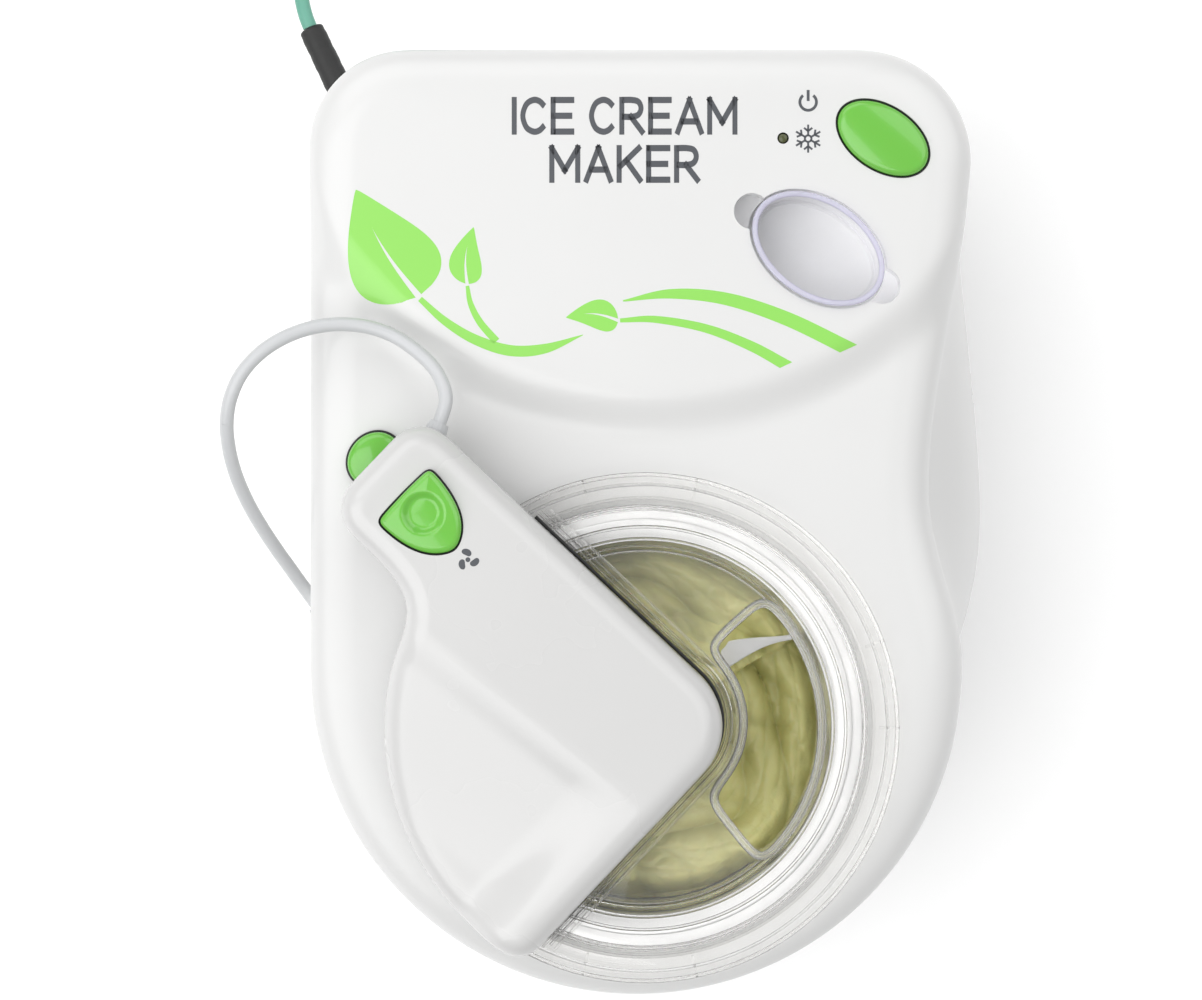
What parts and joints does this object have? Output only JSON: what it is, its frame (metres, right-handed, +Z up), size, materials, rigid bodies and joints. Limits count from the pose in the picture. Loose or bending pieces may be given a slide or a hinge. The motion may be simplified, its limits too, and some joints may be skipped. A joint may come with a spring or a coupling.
{
  "type": "ice cream maker",
  "caption": "Countertop compressor ice cream maker: removable bowl and paddle under a clear lid, lift-off motor unit, stored measuring cup, mains lead.",
  "frame": {"origin": "on the surface it stands on, below the middle of the body's box (free leads left out)", "axes": "+Z up, +Y towards the rear where the mains lead leaves, -Y the bowl end, +X towards the side with the power button"},
  "size_m": [0.3284, 0.5539, 0.247],
  "materials": {
    "housing_white": "gloss",
    "base_grey": "matte",
    "button_green": "gloss",
    "clear_plastic": "gloss",
    "black_plastic": "satin",
    "black_rubber": "matte",
    "aluminium": "satin",
    "steel": "satin",
    "copper": "satin",
    "black_steel": "satin",
    "foam": "matte",
    "gear_nylon": "satin",
    "circuit_board": "satin",
    "lead_teal": "satin",
    "lead_white": "satin"
  },
  "bodies": {
    "housing": {"lower_housing": "housing_white", "top_cover": "housing_white", "base_tray": "base_grey", "power_switch": "black_plastic", "release_latch": "black_plastic", "start_relay": "black_plastic", "fan_shroud": "black_plastic", "foot_front_left": "black_rubber", "foot_front_right": "black_rubber", "foot_rear_left": "black_rubber", "foot_rear_right": "black_rubber", "compressor_mount_1": "black_rubber", "compressor_mount_2": "black_rubber", "compressor_mount_3": "black_rubber", "mains_strain_relief": "black_rubber", "mains_plug": "black_rubber", "cable_gland": "black_rubber", "evaporator_well": "aluminium", "condenser": "aluminium", "base_screw_front_left": "steel", "base_screw_front_right": "steel", "base_screw_rear_left": "steel", "base_screw_rear_right": "steel", "power_button_spring": "steel", "release_button_spring": "steel", "evaporator_coil": "copper", "filter_drier": "copper", "discharge_line": "copper", "suction_line": "copper", "capillary_line": "copper", "compressor": "black_steel", "fan_motor": "black_steel", "insulation_jacket": "foam", "insulation_base": "foam", "control_board": "circuit_board", "cooling_led": "circuit_board", "mains_cord": "lead_teal", "mains_cord_coil": "lead_teal", "motor_cable": "lead_white"},
    "bowl": {"bowl": "aluminium"},
    "paddle": {"paddle": "housing_white"},
    "lid": {"lid": "clear_plastic"},
    "motor_unit": {"motor_unit_cover": "housing_white", "motor_unit_base": "housing_white", "output_bush": "steel", "gear_pin": "steel", "drive_motor": "steel", "gearbox_plate": "steel", "mixing_switch": "black_plastic", "mixing_button_spring": "steel", "unit_grommet": "black_rubber"},
    "output_drive": {"output_gear": "gear_nylon"},
    "intermediate_gear": {"intermediate_gear": "gear_nylon"},
    "motor_rotor": {"motor_pinion": "steel"},
    "mixing_button": {"mixing_button": "button_green"},
    "power_button": {"power_button": "button_green"},
    "release_button": {"release_button": "button_green"},
    "measuring_cup": {"measuring_cup": "clear_plastic"},
    "fan_rotor": {"fan_rotor": "black_plastic"}
  },
  "joints": [
    {"name": "bowl_lift", "type": "slide", "parent": "housing", "child": "bowl", "axis": [0, 0, 1], "range_m": [0, 0.11]},
    {"name": "lid_lift", "type": "slide", "parent": "bowl", "child": "lid", "axis": [0, 0, 1], "range_m": [0, 0.05]},
    {"name": "motor_unit_lift", "type": "slide", "parent": "lid", "child": "motor_unit", "axis": [0, 0, 1], "range_m": [0, 0.05]},
    {"name": "paddle_spin", "type": "hinge", "parent": "bowl", "child": "paddle", "pos_m": [-0.0046, -0.0816, 0.1], "axis": [0, 0, 1], "continuous": true},
    {"name": "output_spin", "type": "hinge", "parent": "motor_unit", "child": "output_drive", "pos_m": [-0.0046, -0.0816, 0.2], "axis": [0, 0, 1], "continuous": true},
    {"name": "intermediate_spin", "type": "hinge", "parent": "motor_unit", "child": "intermediate_gear", "pos_m": [-0.02498, -0.0624, 0.206], "axis": [0, 0, 1], "continuous": true},
    {"name": "rotor_spin", "type": "hinge", "parent": "motor_unit", "child": "motor_rotor", "pos_m": [-0.04536, -0.04319, 0.206], "axis": [0, 0, 1], "continuous": true},
    {"name": "fan_spin", "type": "hinge", "parent": "housing", "child": "fan_rotor", "pos_m": [0.07, 0.097, 0.072], "axis": [1, 0, 0], "continuous": true},
    {"name": "power_button_press", "type": "slide", "parent": "housing", "child": "power_button", "axis": [0, 0, -1], "range_m": [0, 0.0025], "stiffness_N_per_m": 300, "springref_m": -0.002},
    {"name": "release_button_press", "type": "slide", "parent": "housing", "child": "release_button", "axis": [0, 0, -1], "range_m": [0, 0.0035], "stiffness_N_per_m": 300, "springref_m": -0.002},
    {"name": "mixing_button_press", "type": "slide", "parent": "motor_unit", "child": "mixing_button", "axis": [0, 0, -1], "range_m": [0, 0.0025], "stiffness_N_per_m": 300, "springref_m": -0.002},
    {"name": "measuring_cup_lift", "type": "slide", "parent": "housing", "child": "measuring_cup", "axis": [0, 0, 1], "range_m": [0, 0.05]}
  ],
  "couplings": [
    {"joint": "output_spin", "follows": "paddle_spin", "ratio": 1},
    {"joint": "intermediate_spin", "follows": "paddle_spin", "ratio": -3.6667},
    {"joint": "rotor_spin", "follows": "paddle_spin", "ratio": 13.444}
  ]
}
